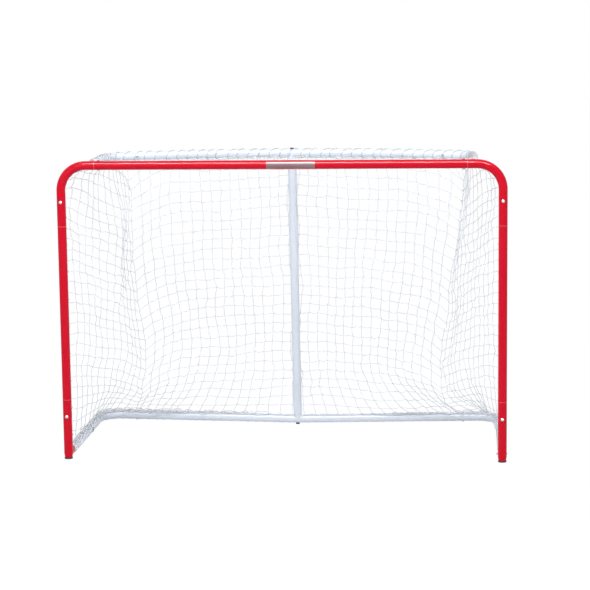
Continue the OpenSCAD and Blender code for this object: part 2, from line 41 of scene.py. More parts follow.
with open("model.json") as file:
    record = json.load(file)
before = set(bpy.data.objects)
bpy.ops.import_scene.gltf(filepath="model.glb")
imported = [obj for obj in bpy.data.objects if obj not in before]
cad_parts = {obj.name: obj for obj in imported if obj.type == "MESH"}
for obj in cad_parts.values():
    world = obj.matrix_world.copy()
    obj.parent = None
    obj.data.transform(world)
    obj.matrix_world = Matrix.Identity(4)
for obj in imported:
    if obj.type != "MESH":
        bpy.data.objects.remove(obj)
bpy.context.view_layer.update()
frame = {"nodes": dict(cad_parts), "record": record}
MOUNTS = {mount["name"]: mount["pos_m"] for mount in frame["record"]["mounts"]}

# The goal line's frame: the post axes stand at this depth, and everything below
# is measured back from it.
FRONT_Y = MOUNTS["foot_left"][1]
POST_X = MOUNTS["foot_right"][0]
TUBE_R = 0.019
BAR_Z = 1.269
BASE_Z = 0.025
CORNER_R = 0.107
BEND_R = 0.1
SOCKET = 0.08
BAR_TAIL = 0.014
STUB = 0.062
SHELF_X = 0.808
SHELF_DEPTH = 0.59
SHELF_SWEEP = math.radians(20)
SHELF_TILT = math.radians(0.2)
BASE_DEPTH = 0.73
BASE_VEE = math.radians(4.5)
VEE_BEND_R = 0.25
SEAM_X = 0.786
SEAM_Z = (1.01, 0.26)
SEAM_HIGHLIGHT_HALF = 0.0007  # half the width of the painted highlight along a seam
ROPE_OUT = TUBE_R + 0.0042  # from a tube's axis to the axis of the rope behind it
ROPE_ANGLE = math.radians(35)
NET_SEAT = 0.003  # from a tube's surface to the twines that are tied to it
HAIR = 0.0003  # clearance between a wound cord and its tube
SEED = 11

# The two creases behind which the back of the net begins, from the top down: height,
# distance from the middle and depth behind the goal line.
LEFT_CREASE = ((1.165, -0.712, 0.38), (0.95, -0.702, 0.38), (0.70, -0.697, 0.46),
               (0.40, -0.680, 0.56), (0.30, -0.674, 0.585), (0.19, -0.710, 0.60))
RIGHT_CREASE = ((1.165, -0.765, 0.38), (0.90, -0.742, 0.40), (0.70, -0.714, 0.46),
                (0.45, -0.676, 0.54), (0.30, -0.655, 0.58), (0.19, -0.662, 0.60))
CREASE_TOP, CREASE_BEND, CREASE_FOOT = 1.165, 0.94, 0.19
FOOT_ROWS = 6  # rows between the foot of a crease and the base
BEND_ROWS = 5  # rows beside the bend of a top corner
EDGE_BEND, EDGE_LAST = 0.19, 0.062  # edge beside those rows, and beside the last row

# Where the columns are tied, as distances along the tubes from the left: at the shelf
# the first column and the crease's column, and at the base from a post to past a crease.
SHELF_FIRST, SHELF_CREASE = 0.03, 0.50
BASE_TIES = (0.03, 0.47, 0.55, 0.80, 0.855, 0.916, 0.934, 1.107)
SHELF_FOLD = 0.46  # where the roof's first column meets the shelf
MIDDLE_HEIGHTS = (1.246, 1.205, 0.30)  # of the back's rows 0, 1 and foot, at its middle
ROOF_RISE = 0.0116  # of the roof's rear over its front, on a level shelf
ROOF_SAG = 0.03
RIM_REACH = 0.36  # the roof meets the shelf's side tubes up to this depth

# Strands that lie on the base, as (start, end, number of them), and lifted ones, as
# (start, end, order). A distance below 0 is measured back from the far end.
HEMS = ((0.12, 1.45, 4), (-1.25, -0.1, 3), (1.45, -1.25, 1))
FRINGE = ((0.58, 1.15, 1), (0.62, 1.55, 2), (0.6, 0.95, 1), (-0.95, -0.6, 1))
FRINGE_LIFT = 0.013
TIE_AT = 0.47  # distance of the black tie along the base
ROPE_END = 0.74  # half the length of the rope under the crossbar

RED_NODES = ("crossbar", "corner_left", "corner_right", "post_left", "post_right",
             "leg_left", "leg_right")
WHITE_NODES = ("shelf_side_left", "shelf_side_right", "shelf_bar", "base_side_left",
               "base_side_right", "base_bar", "centre_post")
ZINC_NODES = ("post_bolts", "post_nuts", "crossbar_nuts", "stub_bolts", "stub_nuts",
              "base_seam_bolts", "base_seam_nuts", "shelf_seam_bolts",
              "shelf_seam_nuts", "post_inserts")


# ---------------------------------------------------------------- settings


class GoalCoatSettings(bpy.types.PropertyGroup):
    """Colours of the coated tubes, the fasteners and the label."""

    red: FloatVectorProperty(
        name="Red Coat", description="Colour of the front frame", subtype="COLOR",
        size=3, min=0, max=1, default=(0.62, 0.0, 0.016))
    white: FloatVectorProperty(
        name="White Coat", description="Colour of the shelf, the base and the brace",
        subtype="COLOR", size=3, min=0, max=1, default=(0.74, 0.80, 0.88))
    zinc: FloatVectorProperty(
        name="Zinc", description="Colour of the plated bolts and nuts",
        subtype="COLOR", size=3, min=0, max=1, default=(0.56, 0.57, 0.60))
    label: FloatVectorProperty(
        name="Label", description="Colour of the blank label", subtype="COLOR",
        size=3, min=0, max=1, default=(0.22, 0.10, 0.112))
    peel: FloatProperty(
        name="Orange Peel", description="Depth of the coat's orange peel",
        subtype="DISTANCE", min=0, max=0.001, default=0.00012)


class GoalNetSettings(bpy.types.PropertyGroup):
    """Sizes of the netting and how it hangs."""

    mesh: FloatProperty(
        name="Mesh", description="Length of a twine from knot to knot",
        subtype="DISTANCE", min=0.03, max=0.06, default=0.0462)
    twine: FloatProperty(
        name="Twine Radius", description="Radius of the netting twine",
        subtype="DISTANCE", min=0.0005, max=0.003, default=0.0013)
    knot: FloatProperty(
        name="Knot Radius", description="Radius of a knot", subtype="DISTANCE",
        min=0.001, max=0.006, default=0.0022)
    rows: IntProperty(
        name="Rows", description="Meshes from the shelf to the base", min=10, max=60,
        default=27)
    side_columns: IntProperty(
        name="Side Columns", description="Meshes from a post to a crease", min=8,
        max=30, default=13)
    back_columns: IntProperty(
        name="Back Columns", description="Meshes from crease to crease", min=9,
        max=81, default=33)
    dip: FloatProperty(
        name="Dip", description="Columns over which a row dips to a crease", min=0.5,
        max=8, default=2.4)
    uneven: FloatProperty(
        name="Uneven", description="How far the knots stray from an even net",
        subtype="DISTANCE", min=0, max=0.02, default=0.0022)
    colour: FloatVectorProperty(
        name="Twine", description="Colour of the netting twine", subtype="COLOR",
        size=3, min=0, max=1, default=(0.80, 0.84, 0.91))


class GoalLacingSettings(bpy.types.PropertyGroup):
    """Sizes of the cords that hold the net on."""

    cord: FloatProperty(
        name="Cord Radius", description="Radius of the lacing cord",
        subtype="DISTANCE", min=0.0005, max=0.004, default=0.0015)
    turn: FloatProperty(
        name="Turn Radius", description="Radius of the thin cord round the base",
        subtype="DISTANCE", min=0.0005, max=0.004, default=0.0008)
    rope: FloatProperty(
        name="Rope Radius", description="Radius of the edge ropes",
        subtype="DISTANCE", min=0.001, max=0.004, default=0.003)
    base_pitch: FloatProperty(
        name="Base Pitch", description="Spacing of the turns on the base",
        subtype="DISTANCE", min=0.015, max=0.1, default=0.04)
    colour: FloatVectorProperty(
        name="Cord", description="Colour of the lacing and the ropes",
        subtype="COLOR", size=3, min=0, max=1, default=(0.90, 0.91, 0.94))


class GoalStageSettings(bpy.types.PropertyGroup):
    """The camera and the lamps."""

    eye: FloatVectorProperty(
        name="Camera", description="Place of the camera, measured from the goal line",
        subtype="XYZ", size=3, default=(0.794, -8.320, 1.982))
    turn: FloatVectorProperty(
        name="Camera Turn", description="Pitch, roll and yaw of the camera",
        subtype="EULER", size=3,
        default=(math.radians(-8.618), math.radians(-0.701), math.radians(5.053)))
    lens: FloatProperty(
        name="Lens", description="Focal length in millimetres on a 36 mm sensor",
        min=10, max=300, default=121.77)
    lamp: FloatProperty(
        name="Lamp Power", description="Power of the large overhead lamp",
        subtype="POWER", min=0, max=5000, default=125)
    strip: FloatProperty(
        name="Highlight Power", description="Power of the lamp that only tubes reflect",
        subtype="POWER", min=0, max=5000, default=720)


# ---------------------------------------------------------------- node trees


class Tree:
    """Adds nodes to one tree: values are set, and sockets are linked."""

    def __init__(self, tree):
        self.tree = tree

    def add(self, kind, inputs=None, **attributes):
        node = self.tree.nodes.new(kind)
        for name, value in attributes.items():
            setattr(node, name, value)
        for name, value in (inputs or {}).items():
            self.put(node.inputs[name], value)
        return node

    def put(self, socket, value):
        if isinstance(value, bpy.types.NodeSocket):
            self.tree.links.new(value, socket)
        else:
            socket.default_value = value

    def math(self, operation, first, second=0.0):
        node = self.add("ShaderNodeMath", {0: first, 1: second}, operation=operation)
        return node.outputs[0]

    def remap(self, value, low, high, to_low, to_high):
        node = self.add("ShaderNodeMapRange", {
            "Value": value, "From Min": low, "From Max": high,
            "To Min": to_low, "To Max": to_high})
        return node.outputs["Result"]

    def mix(self, factor, first, second, blend="MIX"):
        node = self.add("ShaderNodeMix", data_type="RGBA", blend_type=blend)
        colours = [s for s in node.inputs if s.type == "RGBA"]
        self.put(node.inputs["Factor"], factor)
        self.put(colours[0], first)
        self.put(colours[1], second)
        return next(s for s in node.outputs if s.type == "RGBA")


def group(name, kind, inputs, outputs):
    """A new node group with these sockets: returns its helper, inputs and output node."""
    tree = bpy.data.node_groups.new(name, kind)
    for label, socket, default in inputs:
        made = tree.interface.new_socket(label, in_out="INPUT", socket_type=socket)
        if default is not None:
            made.default_value = default
    for label, socket in outputs:
        tree.interface.new_socket(label, in_out="OUTPUT", socket_type=socket)
    helper = Tree(tree)
    return helper, helper.add("NodeGroupInput").outputs, helper.add("NodeGroupOutput")


def coat_surface():
    """Orange peel, a faint cloudiness and light handling marks on a coated tube."""
    name = "Coat Surface"
    if name in bpy.data.node_groups:
        return bpy.data.node_groups[name]
    t, given, out = group(
        name, "ShaderNodeTree",
        [("Colour", "NodeSocketColor", (0.7, 0.7, 0.7, 1)),
         ("Worn Colour", "NodeSocketColor", (0.6, 0.6, 0.6, 1)),
         ("Roughness", "NodeSocketFloat", 0.3),
         ("Peel Scale", "NodeSocketFloat", 260.0),
         ("Marks", "NodeSocketFloat", 0.3)],
        [("Colour", "NodeSocketColor"), ("Roughness", "NodeSocketFloat"),
         ("Height", "NodeSocketFloat")])
    place = t.add("ShaderNodeTexCoord").outputs["Object"]
    peel = t.add("ShaderNodeTexNoise", {
        "Vector": place, "Scale": given["Peel Scale"], "Detail": 1.0})
    cloud = t.add("ShaderNodeTexNoise", {"Vector": place, "Scale": 5.0, "Detail": 2.0})
    scuff = t.add("ShaderNodeTexNoise", {
        "Vector": place, "Scale": 34.0, "Detail": 4.0, "Roughness": 0.65})
    marks = t.math("MULTIPLY", t.remap(scuff.outputs["Fac"], 0.62, 0.76, 0.0, 1.0),
                   given["Marks"])
    tone = t.remap(cloud.outputs["Fac"], 0.3, 0.7, 0.0, 0.16)
    tint = t.mix(tone, given["Colour"], given["Worn Colour"])
    t.put(out.inputs["Colour"], t.mix(marks, tint, given["Worn Colour"]))
    rough = t.math("ADD", given["Roughness"],
                   t.remap(cloud.outputs["Fac"], 0.3, 0.7, -0.03, 0.04))
    t.put(out.inputs["Roughness"], t.math("ADD", rough, t.math("MULTIPLY", marks, 0.35)))
    t.put(out.inputs["Height"], peel.outputs["Fac"])
    return t.tree


def laid_strands():
    """The twisted strands of a cord, with painted shade in the grooves between them: needs
    the attributes along and section.
    """
    name = "Laid Strands"
    if name in bpy.data.node_groups:
        return bpy.data.node_groups[name]
    t, given, out = group(
        name, "ShaderNodeTree",
        [("Colour", "NodeSocketColor", (0.7, 0.7, 0.7, 1)),
         ("Groove Colour", "NodeSocketColor", (0.4, 0.4, 0.4, 1)),
         ("Lay", "NodeSocketFloat", 0.01), ("Strands", "NodeSocketFloat", 3.0)],
        [("Colour", "NodeSocketColor"), ("Height", "NodeSocketFloat")])
    along = t.add("ShaderNodeAttribute", attribute_name="along").outputs["Fac"]
    section = t.add("ShaderNodeAttribute", attribute_name="section").outputs["Vector"]
    parts = t.add("ShaderNodeSeparateXYZ", {0: section}).outputs
    angle = t.math("MULTIPLY", t.math("ARCTAN2", parts["Y"], parts["X"]), given["Strands"])
    turns = t.math("MULTIPLY", t.math("DIVIDE", along, given["Lay"]), math.tau)
    wave = t.math("SINE", t.math("ADD", angle, turns))
    crown = t.math("POWER", t.math("ABSOLUTE", wave), 0.7)
    place = t.add("ShaderNodeTexCoord").outputs["Object"]
    fuzz = t.add("ShaderNodeTexNoise", {
        "Vector": place, "Scale": 900.0, "Detail": 2.0}).outputs["Fac"]
    soil = t.add("ShaderNodeTexNoise", {"Vector": place, "Scale": 7.0}).outputs["Fac"]
    # the grooves between strands are painted darker as their shade, and the soil noise
    # darkens at random as dirt
    shade = t.math("MULTIPLY", crown, t.remap(soil, 0.3, 0.75, 1.0, 0.86))
    t.put(out.inputs["Colour"], t.mix(shade, given["Groove Colour"], given["Colour"]))
    t.put(out.inputs["Height"], t.math("ADD", crown, t.math("MULTIPLY", fuzz, 0.25)))
    return t.tree


def rgba(colour, factor=1.0):
    """A colour with full alpha, made brighter or darker by the factor."""
    return tuple(min(1.0, c * factor) for c in colour[:3]) + (1.0,)


def emptied(owner):
    """The helper for the emptied node tree of a material or a world."""
    owner.use_nodes = True
    owner.node_tree.nodes.clear()
    return Tree(owner.node_tree)


def new_material(name):
    """A material with a Principled shader: returns it, its helper and the shader."""
    material = bpy.data.materials.new(name)
    t = emptied(material)
    shader = t.add("ShaderNodeBsdfPrincipled")
    output = t.add("ShaderNodeOutputMaterial")
    t.put(output.inputs["Surface"], shader.outputs[0])
    return material, t, shader


def plain(shader, **values):
    """Sets the shader's own sockets, whose names have spaces for underscores."""
    for name, value in values.items():
        shader.inputs[name.replace("_", " ")].default_value = value


def seam_highlight_mask(t):
    """1 within a millimetre of a seam of the front frame, where a highlight is painted, and 0
    elsewhere.
    """
    place = t.add("ShaderNodeTexCoord").outputs["Object"]
    parts = t.add("ShaderNodeSeparateXYZ", {0: place}).outputs
    across = t.math("ABSOLUTE", parts["X"])
    gaps = [t.math("ABSOLUTE", t.math("SUBTRACT", parts["Z"], z)) for z in SEAM_Z]
    gaps.append(t.math("ABSOLUTE", t.math("SUBTRACT", across, SEAM_X)))
    nearest = t.math("MINIMUM", t.math("MINIMUM", gaps[0], gaps[1]), gaps[2])
    return t.math("LESS_THAN", nearest, SEAM_HIGHLIGHT_HALF)


def coat(name, colour, worn, roughness, peel_depth, marks=0.3, peel_scale=260.0,
         metallic=0.0, specular=0.5, seam_highlights=False):
    """A coated or plated tube: its colour, its wear, its orange peel and, where asked for,
    a painted highlight: a pale line along each seam of the front frame."""
    material, t, shader = new_material(name)
    surface = t.add("ShaderNodeGroup", node_tree=coat_surface())
    for label, value in (("Colour", rgba(colour)), ("Worn Colour", rgba(worn)),
                         ("Roughness", roughness), ("Peel Scale", peel_scale),
                         ("Marks", marks)):
        t.put(surface.inputs[label], value)
    finish = surface.outputs["Colour"]
    if seam_highlights:
        # a pale line is painted along each seam as the highlight on its edge
        finish = t.mix(seam_highlight_mask(t), finish, (0.72, 0.18, 0.21, 1.0))
    t.put(shader.inputs["Base Color"], finish)
    t.put(shader.inputs["Roughness"], surface.outputs["Roughness"])
    bump = t.add("ShaderNodeBump", {
        "Height": surface.outputs["Height"], "Distance": peel_depth, "Strength": 0.6})
    t.put(shader.inputs["Normal"], bump.outputs[0])
    plain(shader, Metallic=metallic, Specular_IOR_Level=specular)
    return material


def cord_finish(name, colour, lay, strands, depth):
    """A laid or braided cord, its grooves darkened as painted shade."""
    material, t, shader = new_material(name)
    surface = t.add("ShaderNodeGroup", node_tree=laid_strands())
    # the groove colour is the cord's colour darkened, as painted shade
    for label, value in (("Colour", rgba(colour)), ("Groove Colour", rgba(colour, 0.82)),
                         ("Lay", lay), ("Strands", strands)):
        t.put(surface.inputs[label], value)
    t.put(shader.inputs["Base Color"], surface.outputs["Colour"])
    bump = t.add("ShaderNodeBump", {
        "Height": surface.outputs["Height"], "Distance": depth, "Strength": 0.8})
    t.put(shader.inputs["Normal"], bump.outputs[0])
    plain(shader, Roughness=0.72, Sheen_Weight=0.15, Sheen_Roughness=0.5)
    return material


def paint(node, material):
    """Gives a node of the frame its finish."""
    slots = frame["nodes"][node].data.materials
    slots.clear()
    slots.append(material)


# ---------------------------------------------------------------- paths


def bent_path(start, legs, step=0.006):
    """Points of a flat path from start, heading back: legs are (length,) or (radius, turn),
    and a turn above 0 bends to the right."""
    x, y = start
    heading = math.pi / 2
    points = [(x, y)]
    for leg in legs:
        if len(leg) == 1:
            count = max(1, round(leg[0] / step))
            for k in range(1, count + 1):
                reach = leg[0] * k / count
                points.append((x + reach * math.cos(heading), y + reach * math.sin(heading)))
        else:
            radius, turn = leg
            side = -1 if turn > 0 else 1
            cx = x + radius * math.cos(heading + side * math.pi / 2)
            cy = y + radius * math.sin(heading + side * math.pi / 2)
            count = max(2, round(abs(radius * turn) / step))
            for k in range(1, count + 1):
                now = heading - turn * k / count
                points.append((cx + radius * math.cos(now - side * math.pi / 2),
                               cy + radius * math.sin(now - side * math.pi / 2)))
            heading -= turn
        x, y = points[-1]
    return np.array(points)


def shelf_axis():
    """The axis of the shelf's tubes, from the left stub round to the right one."""
    middle = SHELF_X - BEND_R * (1 - math.sin(SHELF_SWEEP)) \
        - (SOCKET + BAR_TAIL) * math.cos(SHELF_SWEEP)
    bow_r = middle / math.sin(SHELF_SWEEP)
    bow = middle * math.tan(SHELF_SWEEP / 2)
    side = SHELF_DEPTH - BEND_R * math.cos(SHELF_SWEEP) \
        - (SOCKET + BAR_TAIL) * math.sin(SHELF_SWEEP) - bow
    half = bent_path((-SHELF_X, 0.0), [
        (side,), (BEND_R, math.pi / 2 - SHELF_SWEEP), (SOCKET + BAR_TAIL,),
        (bow_r, SHELF_SWEEP)])
    flat = np.vstack([half, half[-2::-1] * (-1, 1)])
    return np.column_stack([
        flat[:, 0], FRONT_Y + flat[:, 1] * math.cos(SHELF_TILT),
        BAR_Z + flat[:, 1] * math.sin(SHELF_TILT)])


def base_axis():
    """The axis of the base's tubes, from the left leg round to the right one."""
    seam = POST_X - BEND_R * (1 + math.sin(BASE_VEE)) - SOCKET * math.cos(BASE_VEE)
    half_bar = (seam - VEE_BEND_R * math.sin(BASE_VEE)) / math.cos(BASE_VEE)
    seam_y = BASE_DEPTH + half_bar * math.sin(BASE_VEE) \
        + VEE_BEND_R * (1 - math.cos(BASE_VEE))
    side = seam_y + SOCKET * math.sin(BASE_VEE) - BEND_R * math.cos(BASE_VEE)
    half = bent_path((-POST_X, 0.0), [
        (side,), (BEND_R, math.pi / 2 + BASE_VEE), (SOCKET + half_bar,),
        (VEE_BEND_R, -BASE_VEE)])
    flat = np.vstack([half, half[-2::-1] * (-1, 1)])
    return np.column_stack([flat[:, 0], FRONT_Y + flat[:, 1], np.full(len(flat), BASE_Z)])


class Route:
    """A path of points that is read by its length."""

    near = 0.004  # reach of the tangent on each side

    def __init__(self, points):
        self.points = np.asarray(points, float)
        steps = np.linalg.norm(np.diff(self.points, axis=0), axis=1)
        self.lengths = np.concatenate([[0.0], np.cumsum(steps)])
        self.total = self.lengths[-1]

    def at(self, distance):
        return np.column_stack([
            np.interp(distance, self.lengths, self.points[:, k]) for k in range(3)])

    def tangent(self, distance):
        d = np.asarray(distance, float)
        run = self.at(np.minimum(d + self.near, self.total)) \
            - self.at(np.maximum(d - self.near, 0.0))
        return run / np.linalg.norm(run, axis=1, keepdims=True)

    def around(self, distance, angle, radius):
        """Points on a tube round the path: angle 0 is up, and a quarter turn is outside."""
        ahead = self.tangent(distance)
        outside = np.cross(ahead, (0.0, 0.0, 1.0)) * -1.0
        outside /= np.linalg.norm(outside, axis=1, keepdims=True)
        up = np.cross(outside, ahead) * -1.0
        up *= np.sign(up[:, 2:3])
        reach = np.broadcast_to(np.asarray(radius, float), (len(ahead),))[:, None]
        turn = np.broadcast_to(np.asarray(angle, float), (len(ahead),))[:, None]
        return self.at(distance) + reach * (np.cos(turn) * up + np.sin(turn) * outside)


def front_edge():
    """The net's left front edge: round the corner's bend and down the post."""
    inner = CORNER_R - ROPE_OUT * math.sin(ROPE_ANGLE)
    centre_x, centre_z = -(POST_X - CORNER_R), BAR_Z - CORNER_R
    y = FRONT_Y + ROPE_OUT * math.cos(ROPE_ANGLE)
    first_turn, above_base = math.radians(14), 0.014
    points = [(centre_x - inner * math.sin(turn), y, centre_z + inner * math.cos(turn))
              for turn in np.linspace(first_turn, math.pi / 2, 16)]
    points.append((centre_x - inner, y, BASE_Z + TUBE_R + above_base))
    return Route(points)


# ---------------------------------------------------------------- hung net


def between(table, value):
    """Rows of (value, x, y, ...) read at a value, with straight lines between them."""
    table = np.array(table)
    order = np.argsort(table[:, 0])
    return np.array([np.interp(value, table[order, 0], table[order, k])
                     for k in range(1, table.shape[1])])


def bag_half(net, crease, gathered=4):
    """The knots of the left half of the bag, row by row from the shelf to the base.

    The side runs straight from the post to a crease, and the back straight on to the
    middle. Near the shelf, the columns next to the crease lie gathered, and below
    its foot the net spreads to the base. Also returns where the columns are tied.
    """
    least_step, gather_fade = 0.022, 0.45  # shares of the side's width and the height
    tie_columns, tie_rows = 2.2, 1.7  # over which the ties to the shelf are felt
    flare = 1.6  # above 1, the net spreads late on its way down to the base
    side, rows = net.side_columns, net.rows
    half = side + net.back_columns / 2
    foot = rows - FOOT_ROWS
    shelf, base, edge = Route(shelf_axis()), Route(base_axis()), front_edge()
    columns = int(half) + 1
    count = np.arange(columns + 1)
    beyond = np.maximum(0, count - side)
    across = beyond / (half - side)
    dip = np.exp(-beyond / net.dip)
    post = edge.at(np.interp(
        np.arange(rows + 1), (0, BEND_ROWS, rows - 1, rows),
        (0.0, EDGE_BEND, edge.total - EDGE_LAST, edge.total)))
    shelf_s = np.interp(
        count, (0, side, half, half + 1),
        (SHELF_FIRST, SHELF_CREASE, shelf.total / 2, shelf.total / 2 + 0.03))
    top = shelf.around(shelf_s, math.radians(170), TUBE_R + 0.0035)
    base_s = np.interp(
        count, (0, 5, 6, side - 2, side - 1, side, side + 1, side + 6, half, half + 1),
        (*BASE_TIES, base.total / 2, base.total / 2 + 0.04))
    low = base.around(base_s, math.radians(-35), TUBE_R + NET_SEAT)
    knots = np.zeros((rows + 1, columns + 1, 3))
    for i in range(rows + 1):
        t = i / rows
        middle_z = np.interp(i, (0, 1, foot, rows), (*MIDDLE_HEIGHTS, BASE_Z + TUBE_R))
        lean = (middle_z - BASE_Z) / (BAR_Z - BASE_Z)
        middle_y = BASE_DEPTH + (SHELF_DEPTH - BASE_DEPTH) * lean + TUBE_R + 0.004
        crease_z = np.interp(i, (0, BEND_ROWS, foot),
                             (CREASE_TOP, CREASE_BEND, CREASE_FOOT))
        x, y = between(crease, crease_z)
        fold = np.array((x, FRONT_Y + y, crease_z))
        share = np.clip(count / side, 0, 1)
        bunched = np.clip(count / (side - gathered), 0, 1)
        bunched = np.minimum(bunched, 1 - least_step * np.maximum(0, side - count))
        gather = np.exp(-(t / gather_fade) ** 2) * np.interp(i, (0, 3), (0.3, 1.0))
        share = share + (bunched - share) * gather
        out = post[i] + (fold - post[i]) * share[:, None]
        sag = np.interp(i, (0, 1, 3, 6, 14, foot), (4.0, 2.2, 1.2, 1.0, 1.35, 1.7))
        out[:, 2] = post[i][2] + (fold[2] - post[i][2]) * share ** sag
        middle = np.array((0.0, FRONT_Y + middle_y, middle_z))
        back = fold + (middle - fold) * across[:, None]
        back[:, 2] = middle_z + (crease_z - middle_z) * dip
        knots[i] = np.where((count <= side)[:, None], out, back)
    tied = (top - knots[0]) * (1 - np.exp(-(beyond / tie_columns) ** 2))[:, None]
    for i in range(4):
        knots[i] += tied * math.exp(-(i / tie_rows) ** 2)
    for i in range(foot + 1, rows + 1):
        down = (i - foot) / (rows - foot)
        spread = down ** flare
        knots[i] = knots[foot] + (low - knots[foot]) * (spread, spread, down)
    knots[:, 0] = post
    return knots, top, low


def hung_net(net):
    """The knots of the bag, row by row, and the places above and below to tie them to."""
    rng = np.random.default_rng(SEED)
    columns = 2 * net.side_columns + net.back_columns
    keep = columns // 2 + 1
    left, right = bag_half(net, LEFT_CREASE), bag_half(net, RIGHT_CREASE)
    knots, top, low = (
        np.concatenate([a[..., :keep, :], a_right[..., columns - keep::-1, :] * (-1, 1, 1)],
                       axis=-2) for a, a_right in zip(left, right))
    fine = rng.standard_normal(knots.shape)
    broad = rng.standard_normal(knots.shape)
    blurs, spread, held = 3, 2.6, 0.3
    for _ in range(blurs):
        broad = (broad + np.roll(broad, 1, 0) + np.roll(broad, 1, 1)
                 + np.roll(broad, -1, 0) + np.roll(broad, -1, 1)) / spread
    stray = net.uneven * (0.7 * fine + 1.2 * broad)
    stray[:, 0] = stray[:, -1] = 0
    stray[-1] *= held
    stray[0] *= held
    return knots + stray, top, low


def strands(lines, knot_flags):
    """A mesh of twines from (first key, last key, points) lists.

    Twines that share an end's key share its vertex, and keys in knot_flags get a knot.
    """
    mesh = bpy.data.meshes.new("twines")
    vertices, edges, flags, index = [], [], [], {}

    def vertex(key, point, knot):
        if key is None:
            vertices.append(point)
            flags.append(0.0)
            return len(vertices) - 1
        if key not in index:
            index[key] = len(vertices)
            vertices.append(point)
            flags.append(1.0 if knot else 0.0)
        return index[key]

    for first, last, points in lines:
        keys = [first] + [None] * (len(points) - 2) + [last]
        ids = [vertex(k, p, k in knot_flags) for k, p in zip(keys, points)]
        edges.extend(zip(ids[:-1], ids[1:]))
    mesh.from_pydata([tuple(v) for v in vertices], edges, [])
    mesh.attributes.new("knot", "FLOAT", "POINT").data.foreach_set("value", flags)
    return mesh


def drooped(a, b, rest, rng, wobble=0.0011, parts=4):
    """A twine from a to b that is rest long: what it has to spare hangs below.

    A shallow arc that spare makes longer is sqrt(3 / 8 * length * spare) deep.
    """
    gap = b - a
    length = np.linalg.norm(gap)
    spare = max(0.0, rest - length)
    deepest, stiffness = 0.006, 0.42
    depth = min(deepest, stiffness * math.sqrt(0.375 * max(length, 1e-4) * spare))
    aside = rng.standard_normal(3) * 0.45
    way = np.array((0.0, 0.0, -1.0)) + aside
    if length > 0:
        way -= gap / length * (way @ gap / length)
    way /= max(1e-6, np.linalg.norm(way))
    points = []
    for k in range(parts + 1):
        t = k / parts
        point = a + gap * t + way * depth * 4 * t * (1 - t)
        if 0 < k < parts:
            point = point + wobble * rng.standard_normal(3)
        points.append(point)
    return points


def cord_tree(name, with_knots):
    """Geometry nodes that turn a mesh of edges into round cords, with a knot where marked."""
    if name in bpy.data.node_groups:
        return bpy.data.node_groups[name]
    sockets = [("Geometry", "NodeSocketGeometry", None),
               ("Cord Radius", "NodeSocketFloat", 0.002),
               ("Sides", "NodeSocketInt", 6)]
    if with_knots:
        sockets += [("Knot Radius", "NodeSocketFloat", 0.003),
                    ("Knot Seed", "NodeSocketInt", SEED)]
    sockets.append(("Material", "NodeSocketMaterial", None))
    t, given, out = group(name, "GeometryNodeTree", sockets,
                          [("Geometry", "NodeSocketGeometry")])
    circle = t.add("GeometryNodeCurvePrimitiveCircle", {
        "Resolution": given["Sides"], "Radius": given["Cord Radius"]})
    section = t.add("GeometryNodeStoreNamedAttribute", {
        "Geometry": circle.outputs["Curve"], "Name": "section",
        "Value": t.add("GeometryNodeInputPosition").outputs[0]},
        data_type="FLOAT_VECTOR", domain="POINT")
    curve = t.add("GeometryNodeMeshToCurve", {"Mesh": given["Geometry"]})
    along = t.add("GeometryNodeStoreNamedAttribute", {
        "Geometry": curve.outputs["Curve"], "Name": "along",
        "Value": t.add("GeometryNodeSplineParameter").outputs["Length"]},
        data_type="FLOAT", domain="POINT")
    tube = t.add("GeometryNodeCurveToMesh", {
        "Curve": along.outputs[0], "Profile Curve": section.outputs[0],
        "Fill Caps": True})
    smooth = t.add("GeometryNodeSetShadeSmooth", {"Geometry": tube.outputs[0]})
    joined = t.add("GeometryNodeJoinGeometry", {"Geometry": smooth.outputs[0]})
    if with_knots:
        ball = t.add("GeometryNodeMeshIcoSphere", {
            "Radius": given["Knot Radius"], "Subdivisions": 1})
        mark = t.add("GeometryNodeInputNamedAttribute", {"Name": "knot"},
                     data_type="FLOAT")
        marked = t.add("FunctionNodeCompare", {0: mark.outputs[0], 1: 0.5},
                       data_type="FLOAT", operation="GREATER_THAN")
        spin = t.add("FunctionNodeRandomValue", {"Seed": given["Knot Seed"]},
                     data_type="FLOAT_VECTOR")
        spin.inputs[0].default_value = (0.0, 0.0, 0.0)
        spin.inputs[1].default_value = (math.pi, math.pi, math.pi)
        turned = t.add("FunctionNodeEulerToRotation", {0: spin.outputs[0]})
        knots = t.add("GeometryNodeInstanceOnPoints", {
            "Points": given["Geometry"], "Selection": marked.outputs[0],
            "Instance": ball.outputs["Mesh"], "Rotation": turned.outputs[0],
            "Scale": (1.3, 1.0, 0.85)})
        real = t.add("GeometryNodeRealizeInstances", {"Geometry": knots.outputs[0]})
        t.put(joined.inputs[0], real.outputs[0])
    final = t.add("GeometryNodeRealizeInstances", {"Geometry": joined.outputs[0]})
    finish = t.add("GeometryNodeSetMaterial", {
        "Geometry": final.outputs[0], "Material": given["Material"]})
    t.put(out.inputs["Geometry"], finish.outputs[0])
    return t.tree


def baked(name, mesh, tree, values, body="root"):
    """Runs a tree on a mesh, and gives the result as a plain piece that rides on a body."""
    source = bpy.data.objects.new(name, mesh)
    bpy.context.scene.collection.objects.link(source)
    modifier = source.modifiers.new("Nodes", "NODES")
    modifier.node_group = tree
    for item in tree.interface.items_tree:
        if item.item_type == "SOCKET" and item.in_out == "INPUT" and item.name in values:
            modifier[item.identifier] = values[item.name]
    graph = bpy.context.evaluated_depsgraph_get()
    result = bpy.data.meshes.new_from_object(source.evaluated_get(graph))
    source.modifiers.remove(modifier)
    source.data = result
    result.name = name
    bpy.data.meshes.remove(mesh)
    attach(source, body)
    return source


# ---------------------------------------------------------------- operators


